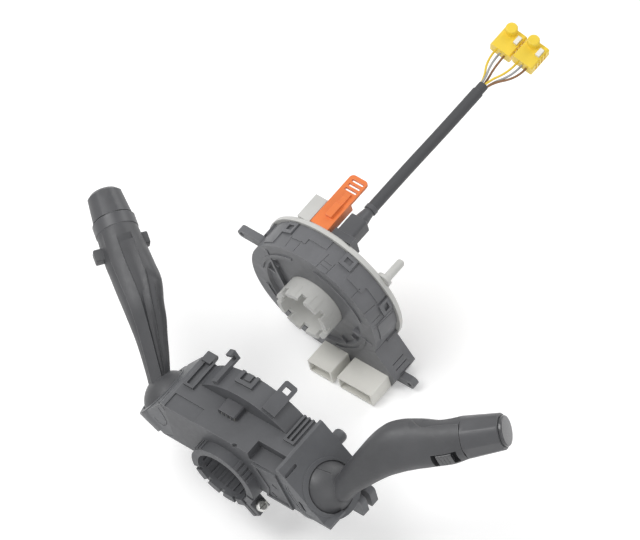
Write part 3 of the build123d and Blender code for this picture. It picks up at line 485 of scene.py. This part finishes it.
def creases():
    """Geometry nodes that mark every edge over the crease angle as sharp."""
    group = bpy.data.node_groups.new("creases", "GeometryNodeTree")
    group.interface.new_socket("Geometry", in_out="INPUT", socket_type="NodeSocketGeometry")
    group.interface.new_socket("Geometry", in_out="OUTPUT", socket_type="NodeSocketGeometry")
    start = group.nodes.new("NodeGroupInput")
    end = group.nodes.new("NodeGroupOutput")
    angle = group.nodes.new("GeometryNodeInputMeshEdgeAngle")
    over = group.nodes.new("FunctionNodeCompare")
    over.data_type = "FLOAT"
    over.operation = "GREATER_THAN"
    over.inputs["B"].default_value = CREASE
    mark = group.nodes.new("GeometryNodeSetShadeSmooth")
    mark.domain = "EDGE"
    mark.inputs["Shade Smooth"].default_value = False
    link(group, start, 0, mark, "Geometry")
    link(group, angle, "Unsigned Angle", over, "A")
    link(group, over, "Result", mark, "Selection")
    link(group, mark, 0, end, 0)
    return group


CREASES = creases()


def soften(piece, node):
    """Modifiers that weld a piece, keep its creases and break them with its node's fine bevel."""
    for face in piece.data.polygons:
        face.use_smooth = True
    weld = piece.modifiers.new("weld", "WELD")
    weld.merge_threshold = WELD * MM
    sharp = piece.modifiers.new("sharp", "NODES")
    sharp.node_group = CREASES
    bevel = piece.modifiers.new("bevel", "BEVEL")
    bevel.width = BEVELS.get(node, PLAIN_BEVEL) * MM
    bevel.segments = 2 if node in BEVELS else 1
    bevel.limit_method = "ANGLE"
    bevel.angle_limit = CREASE
    bevel.use_clamp_overlap = True
    bevel.miter_outer = "MITER_ARC"
    bevel.harden_normals = True


def finish_node(node, piece):
    """Material of a node of the model, and soft edges by modifiers."""
    paint(piece, SLOTS[node])
    if "custom_normal" in piece.data.attributes:
        piece.data.attributes.remove(piece.data.attributes["custom_normal"])
    soften(piece, node)


# Meshes; points closer than the merge distance become one
MERGE = 0.002


def placed_mesh(name, mesh):
    """Object of a mesh, with its faces turned outwards."""
    work = bmesh.new()
    work.from_mesh(mesh)
    bmesh.ops.remove_doubles(work, verts=work.verts, dist=MERGE * MM)
    bmesh.ops.recalc_face_normals(work, faces=work.faces)
    work.to_mesh(mesh)
    work.free()
    piece = bpy.data.objects.new(name, mesh)
    bpy.context.scene.collection.objects.link(piece)
    return piece


def placed_form(name, work):
    """Object of a form that was made in bmesh."""
    mesh = bpy.data.meshes.new(name)
    work.to_mesh(mesh)
    work.free()
    return placed_mesh(name, mesh)


def ball(name, centre, radius):
    """Sphere, in millimetres."""
    work = bmesh.new()
    bmesh.ops.create_uvsphere(work, u_segments=72, v_segments=48, radius=radius * MM)
    bmesh.ops.translate(work, verts=work.verts, vec=centre * MM)
    return placed_form(name, work)


def rod(name, start, direction, radius, length):
    """Round rod, in millimetres."""
    work = bmesh.new()
    bmesh.ops.create_cone(work, cap_ends=True, segments=48, radius1=radius * MM, radius2=radius * MM,
                          depth=length * MM)
    turned = direction.to_track_quat("Z", "Y").to_matrix().to_4x4()
    middle = (start + direction * (length / 2)) * MM
    bmesh.ops.transform(work, matrix=Matrix.Translation(middle) @ turned, verts=work.verts)
    return placed_form(name, work)


def block(name, centre, axes, sizes, round_edge):
    """Box along three axes, its edges rounded, in millimetres."""
    work = bmesh.new()
    bmesh.ops.create_cube(work, size=1)
    scaled = Matrix([axis * (size * MM) for axis, size in zip(axes, sizes)]).transposed()
    bmesh.ops.transform(work, matrix=scaled.to_4x4(), verts=work.verts)
    bmesh.ops.translate(work, verts=work.verts, vec=centre * MM)
    bmesh.ops.bevel(work, geom=list(work.edges), offset=round_edge * MM, segments=3, profile=0.5,
                    affect="EDGES")
    return placed_form(name, work)


def skin(name, rings):
    """Closed mesh through rings of equal length."""
    count = len(rings[0])
    faces = [tuple(range(count))]
    for row in range(len(rings) - 1):
        for k in range(count):
            n = (k + 1) % count
            faces.append((row * count + k, (row + 1) * count + k, (row + 1) * count + n, row * count + n))
    faces.append(tuple((len(rings) - 1) * count + k for k in reversed(range(count))))
    mesh = bpy.data.meshes.new(name)
    mesh.from_pydata([point for ring in rings for point in ring], [], faces)
    return placed_mesh(name, mesh)


def node_copy(name, node):
    """New object with a node's own shape."""
    return placed_mesh(name, NODES[node].data.copy())


def cut_and_join(name, base, steps):
    """New object from a base and boolean steps of (operation, object); all the inputs go."""
    for operation, other in steps:
        change = base.modifiers.new(operation, "BOOLEAN")
        change.operation = operation
        change.solver = "EXACT"
        change.object = other
    graph = bpy.context.evaluated_depsgraph_get()
    mesh = bpy.data.meshes.new_from_object(base.evaluated_get(graph))
    for piece in [base] + [other for _, other in steps]:
        bpy.data.objects.remove(piece)
    return placed_mesh(name, mesh)


# Seams of the drawing, in its own pixels, that are cut into the surface they lie on
SEAM_RADIUS = 0.5
SEAM_STEPS = 4
SEAM_GAP = 0.4
DOME_LINE = ((316.8, 467.8), (328.0, 471.5), (338.4, 476.0))
DRUM_LINES = (
    ((293.3, 251.3), (302.4, 240.9)),
    ((284.7, 247.0), (292.6, 236.1)),
    ((315.7, 267.1), (329.1, 254.4)),
    ((320.5, 271.9), (325.3, 274.5), (335.6, 264.5)),
    ((323.1, 260.2), (331.7, 266.4)),
    ((319.6, 263.7), (328.2, 270.2)),
    ((360.1, 288.6), (351.1, 297.8)),
    ((374.7, 305.0), (364.4, 314.1)),
    ((382.5, 312.4), (371.6, 323.6)),
    ((393.2, 311.5), (374.4, 329.6)))
CASE_LINES = (
    ((158.4, 402.0), (163.6, 408.4), (171.3, 417.0), (176.2, 426.4), (179.1, 430.7),
     (176.5, 434.2), (172.2, 436.3), (166.2, 435.0)),
    ((157.9, 407.5), (163.6, 416.1), (166.5, 422.1), (166.2, 425.1), (163.1, 425.7),
     (158.4, 422.6), (154.1, 417.8)),
    ((176.8, 418.2), (179.1, 423.0), (187.7, 427.3), (196.3, 431.9), (199.2, 437.6)))


def over_pixel(x, y):
    """Point in front of the part that the drawing shows at a pixel, in metres."""
    across = (x - ORIGIN_PIXEL[0]) / PIXELS_PER_MM
    down = (y - ORIGIN_PIXEL[1]) / PIXELS_PER_MM
    return seen(across, down, RAY_START) * MM


def seam(node, line):
    """Thin round bar along a line of the drawing, laid on a node's surface."""
    places = []
    for (x0, y0), (x1, y1) in zip(line, line[1:]):
        for k in range(SEAM_STEPS + 1):
            start = over_pixel(x0 + (x1 - x0) * k / SEAM_STEPS, y0 + (y1 - y0) * k / SEAM_STEPS)
            hit, place, _, _ = NODES[node].ray_cast(start, -TOWARDS.normalized())
            if hit and (not places or (place - places[-1]).length > SEAM_GAP * MM):
                places.append(place.copy())
    return placed_mesh("seam", curve_mesh(round_curve("seam", "POLY", places, SEAM_RADIUS, 1)))


def seamed(node, body, lines):
    """Copy of a node with the drawing's seams cut into it, in its place."""
    steps = [("DIFFERENCE", seam(node, line)) for line in lines]
    piece = cut_and_join(node + "_seamed", node_copy("plain", node), steps)
    stand_in(piece, node, body)
    soften(piece, node)


# Stalks: stations across the drawing as (across, down, towards, half width, half depth, angle)
TURN_STATIONS = (
    (-66.0, -153.1, -59.5, 13.6, 13.6, -20), (-60.5, -138.8, -52.4, 14.7, 13.9, -22),
    (-56.3, -129.1, -47.6, 14.9, 14.0, -23), (-52.3, -119.5, -43.0, 15.0, 13.8, -18),
    (-49.2, -107.1, -38.7, 13.05, 12.6, -15), (-46.4, -97.0, -37.6, 11.8, 11.4, -14),
    (-44.3, -87.2, -37.3, 10.2, 10.3, -12), (-42.0, -75.6, -37.2, 8.85, 9.6, -10),
    (-39.7, -61.8, -37.1, 7.3, 9.0, -10), (-38.4, -53.8, -37.0, 6.9, 8.8, -10))
WIPER_STATIONS = (
    (151.9, -26.2, 77.3, 13.6, 13.6, -99), (144.2, -23.8, 74.3, 14.2, 13.7, -97),
    (136.9, -22.7, 71.4, 14.4, 13.8, -100), (130.1, -22.7, 68.7, 15.3, 13.9, -104),
    (124.1, -22.4, 66.5, 16.0, 14.0, -107), (118.1, -22.0, 64.6, 16.5, 14.0, -111),
    (112.1, -20.8, 62.4, 16.6, 13.9, -116), (107.4, -19.0, 60.0, 15.9, 13.7, -120),
    (103.0, -16.7, 57.0, 14.8, 13.3, -121), (98.6, -13.9, 53.7, 13.5, 12.6, -122),
    (93.0, -9.6, 49.3, 12.0, 11.5, -122), (86.8, -4.5, 44.2, 10.5, 10.0, -121),
    (80.3, 0.9, 37.5, 9.0, 9.0, -111), (75.7, 6.3, 32.6, 8.5, 8.5, -105),
    (70.5, 6.8, 27.5, 8.0, 8.2, -102))
# Where lines along the stalks cross each station, as shares of the half width: on the turn stalk the
# edge of its strip, both edges of its channel's left wall, and the floor's and the channel's right
# edge; on the wiper stalk the edge of the thumb's flat
TURN_LINES = (
    (-0.69, -0.07, 0.18, 0.40, 0.60), (-0.69, -0.09, 0.16, 0.38, 0.57),
    (-0.69, -0.11, 0.13, 0.34, 0.54), (-0.70, -0.13, 0.09, 0.26, 0.44),
    (-0.67, -0.04, 0.07, 0.27, 0.43), (-0.67, -0.04, 0.02, 0.24, 0.40),
    (-0.72, 0.01, 0.06, 0.26, 0.42), (-0.75, 0.08, 0.13, 0.32, 0.46),
    (-0.73, 0.26, 0.30, 0.46, 0.58), (-0.70, 0.30, 0.35, 0.50, 0.62))
WIPER_LINES = ((0.64,), (0.74,), (0.77,), (0.71,)) + ((0.96,),) * 11
# Fractional stations at which the rings stand, close together where a recess begins
TURN_PLACES = [0, 0.1, 0.2, 0.35, 0.5, 0.7, 0.85] + [1 + 0.125 * k for k in range(28)]
TURN_PLACES += [4.5 + 0.25 * k for k in range(19)]
WIPER_PLACES = [0.25 * k for k in range(57)]
PLACE_STEP = 0.05
BACK_STEP = 12
# The outline's power: an ellipse at the knob, and a little squarer some stations further in
ELLIPSE = 2
SQUARER = 0.6
SQUARER_BY = 1.5
STALK_RUN = Vector((59.7, 40.9, 15.2)).normalized()
STALK_PIVOT = Vector((61.448, 28.0, 3.074))
DOME_RADIUS = 19.0
DOME_WALL = 0.7
DOME_SPARE = 0.05
KNOB_RADIUS = 13.6
SPIGOT_RADIUS = 6.0
TURN_SPIGOT = 18
WIPER_SPIGOT = 10
# Depths of the turn stalk's strip, channel, channel edges, facet and panel, and of the thumb's flat
STRIP_DEPTH = 1
CHANNEL_DEPTH = 2.6
CHANNEL_LEFT = 1.1
CHANNEL_RIGHT = 1.5
FACET_DEPTH = 1.2
PANEL_HEIGHT = 0.7
THUMB_DEPTH = 0.9
# The turn stalk's tabs, each as (distance below the end, distance out), and the slider's window
TABS = ((13.0, -15.6), (9.2, 13.6))
TAB_SIZE = (8.4, 8, 7.4)
TAB_ROUND = 1.1
TAB_TURN = 12
WINDOW_SIZE = (17.2, 8, 10.6)
WINDOW_ROUND = 0.5


def between(rows, place):
    """Row of numbers at a fractional place, on a smooth line through the rows."""
    first = min(int(place), len(rows) - 2)
    f = place - first
    near = [rows[min(max(first + k, 0), len(rows) - 1)] for k in (-1, 0, 1, 2)]
    return [q + 0.5 * f * (r - p + f * (2 * p - 5 * q + 4 * r - t + f * (3 * (q - r) + t - p)))
            for p, q, r, t in zip(*near)]


def ramp(place, start, length):
    """0 before a place, 1 after it, with a slope between."""
    return min(max((place - start) / length, 0.0), 1.0)


def turn_front(place):
    """Front of the turn stalk: side strip, long channel with a slanted head, and thumb facet.

    Each point is a share of the half width and a depth; shares close together make a step's wall.
    """
    rail, left, floor_left, floor_right, right = between(TURN_LINES, place)
    strip = STRIP_DEPTH * ramp(place, 0.1, 0.1)
    channel = ramp(place, 0.5, 0.2)
    points = [(-0.97, strip), (-0.9, strip), (-0.81, strip), (rail - 0.02, strip), (rail + 0.01, 0)]
    points += [(rail + (left - rail) * k, 0) for k in (0.25, 0.5, 0.75)]
    points += [(left - 0.01, 0), (left + 0.015, CHANNEL_LEFT * channel)]
    points += [(floor_left + 0.02, CHANNEL_DEPTH * channel), (floor_right, CHANNEL_DEPTH * channel)]
    points += [(right - 0.02, CHANNEL_RIGHT * channel), (right, 0)]
    for k in (0.1, 0.3, 0.5, 0.55, 0.75, 1.0):
        facet = FACET_DEPTH * ramp(place, 2.5 + 0.7 * k, 0.125)
        panel = PANEL_HEIGHT * ramp(place, 3.2, 0.1) * (1 - ramp(place, 4.5, 0.1)) if k > 0.5 else 0
        points.append((right + (0.97 - right) * k, facet - panel))
    return points


def wiper_front(place):
    """Front of the wiper stalk: smooth, with the thumb's flat along its upper side."""
    line, = between(WIPER_LINES, place)
    flat = THUMB_DEPTH * (1 - ramp(place, 3.9, 0.3))
    points = [(-0.97 + 0.97 * k / 6, 0) for k in range(6)]
    points += [(line * k / 5, 0) for k in range(5)]
    return points + [(line, 0), (line + 0.012, flat), (line + (0.985 - line) * 0.5, flat), (0.985, flat)]


def bulge(x, power):
    """Height of a rounded outline over its middle line, both as shares of its half sizes."""
    return max(0.0, 1 - abs(x) ** power) ** (1 / power)


def stalk_ring(stations, place, front, ahead):
    """Points round a stalk at a fractional station, square to a given direction or to its own run."""
    across, down, towards, half, deep, angle = between(stations, place)
    if ahead is None:
        before, after = between(stations, place - PLACE_STEP), between(stations, place + PLACE_STEP)
        ahead = (seen(*before[:3]) - seen(*after[:3])).normalized()
    side = crosswise(angle)
    face = side.cross(ahead).normalized()
    if face.dot(TOWARDS) < 0:
        face = -face
    power = ELLIPSE + SQUARER * ramp(place, 0, SQUARER_BY)
    row = [(-1, 0), (-0.993, 0)] + front(place) + [(0.993, 0), (1, 0)]
    outline = [(x, bulge(x, power) - dent / deep) for x, dent in row]
    back = [cos(radians(BACK_STEP * k)) for k in range(1, 180 // BACK_STEP)]
    outline += [(x, -bulge(x, power)) for x in back]
    middle = seen(across, down, towards)
    return [(middle + side * (half * x) + face * (deep * y)) * MM for x, y in outline]


def stalk(node, body, rings, pivot, extras):
    """Stalk through its rings, round the CAD's own dome and fork, in place of its node."""
    shell = cut_and_join(node + "_shell", skin(node + "_skin", rings),
                         [("DIFFERENCE", ball("hollow", pivot, DOME_RADIUS - DOME_WALL))])
    dome = cut_and_join(node + "_dome", node_copy("dome", node),
                        [("INTERSECT", ball("keep", pivot, DOME_RADIUS + DOME_SPARE))])
    piece = cut_and_join(node + "_outline", shell, [("UNION", dome)] + extras)
    stand_in(piece, node, body)
    soften(piece, node)


def turn_stalk():
    """Left stalk, with its spigot in the ring and its two side tabs."""
    run = mirrored(STALK_RUN)
    end = seen(*TURN_STATIONS[0][:3])
    side = crosswise(TURN_STATIONS[0][5])
    side = (side - run * side.dot(run)).normalized()
    side = Matrix.Rotation(radians(TAB_TURN), 3, run) @ side
    front = side.cross(run).normalized()
    extras = [("UNION", rod("turn_spigot", end - run, run, SPIGOT_RADIUS, TURN_SPIGOT))]
    for below, out in TABS:
        middle = end - run * below + side * out
        extras.append(("UNION", block("tab", middle, (run, side, front), TAB_SIZE, TAB_ROUND)))
    rings = [stalk_ring(TURN_STATIONS, place, turn_front, None if place else run) for place in TURN_PLACES]
    stalk("turn_stalk", "turn_lever", rings, mirrored(STALK_PIVOT), extras)


def wiper_stalk():
    """Right stalk, with its spigot in the knob, the seam on its dome and the slider's window."""
    run = STALK_RUN
    end = seen(*WIPER_STATIONS[0][:3])
    low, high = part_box("interval_slider")
    middle = (Vector(low) + Vector(high)) * (0.5 / MM)
    out = middle - end
    out = (out - run * out.dot(run)).normalized()
    middle = end + run * (middle - end).dot(run) + out * KNOB_RADIUS
    axes = (run, out, run.cross(out))
    extras = [("UNION", rod("wiper_spigot", end - run, run, SPIGOT_RADIUS, WIPER_SPIGOT)),
              ("DIFFERENCE", seam("wiper_stalk", DOME_LINE)),
              ("DIFFERENCE", block("window", middle, axes, WINDOW_SIZE, WINDOW_ROUND))]
    rings = [stalk_ring(WIPER_STATIONS, place, wiper_front, None if place else run) for place in WIPER_PLACES]
    stalk("wiper_stalk", "wiper_lever", rings, STALK_PIVOT, extras)


# Springs, each a copy of its node on its body; the detent springs' axis and seat distance
DETENT_AXIS = Vector((0.7867, 0, 0.6173))
DETENT_SEAT = 0.9


def spring(node, body):
    """Copy of a spring in its node's place, with its own mesh."""
    piece = node_copy(node + "_coil", node)
    stand_in(piece, node, body)
    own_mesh(piece)


def springs():
    """Both detent springs and the pawl's."""
    for side, turned in (("turn", mirrored), ("wiper", Vector)):
        axis = turned(DETENT_AXIS)
        seat = turned(STALK_PIVOT) - axis * DETENT_SEAT
        spring(f"{side}_detent_spring", f"{side}_rocker")
    spring("pawl_spring", "switch_unit")


camera()
studio()
pigtail()
turn_stalk()
wiper_stalk()
springs()
seamed("clock_spring_drum", "clock_spring", DRUM_LINES)
seamed("turn_switch_case", "switch_unit", CASE_LINES)
for node_name, node_piece in NODES.items():
    finish_node(node_name, node_piece)
